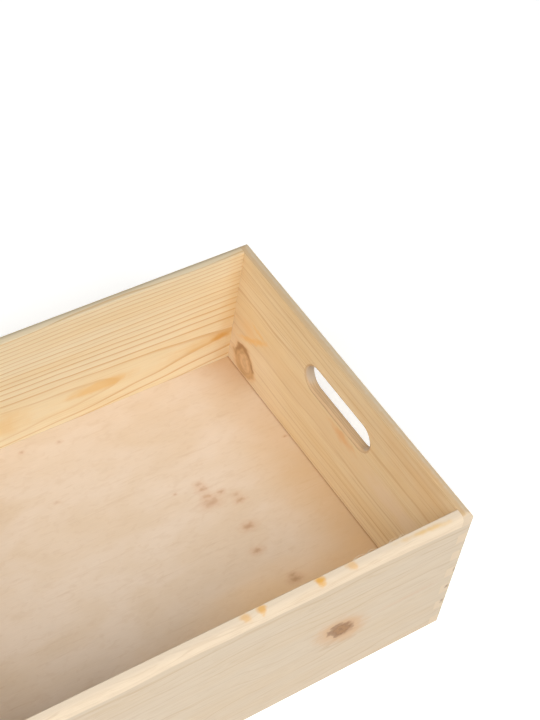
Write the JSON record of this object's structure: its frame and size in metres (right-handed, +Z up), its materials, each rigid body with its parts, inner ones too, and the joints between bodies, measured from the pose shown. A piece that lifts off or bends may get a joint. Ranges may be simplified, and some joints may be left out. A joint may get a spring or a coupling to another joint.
{
  "type": "apple crate",
  "caption": "Open-topped wooden crate with finger-jointed walls, a plywood bottom let into grooves, a rounded rim and a hand slot in each end.",
  "frame": {"origin": "centre of the footprint, on the surface the crate stands on", "axes": "+X along the crate's length towards one hand slot, +Y across its width towards the back wall, +Z up"},
  "size_m": [0.4, 0.3, 0.14],
  "materials": {
    "pine": "planed and sanded, uncoated",
    "birch_plywood": "sanded rotary-cut veneer, uncoated"
  },
  "bodies": {
    "root": {"front_wall": "pine", "back_wall": "pine", "right_end": "pine", "left_end": "pine", "bottom_panel": "birch_plywood"}
  },
  "joints": []
}
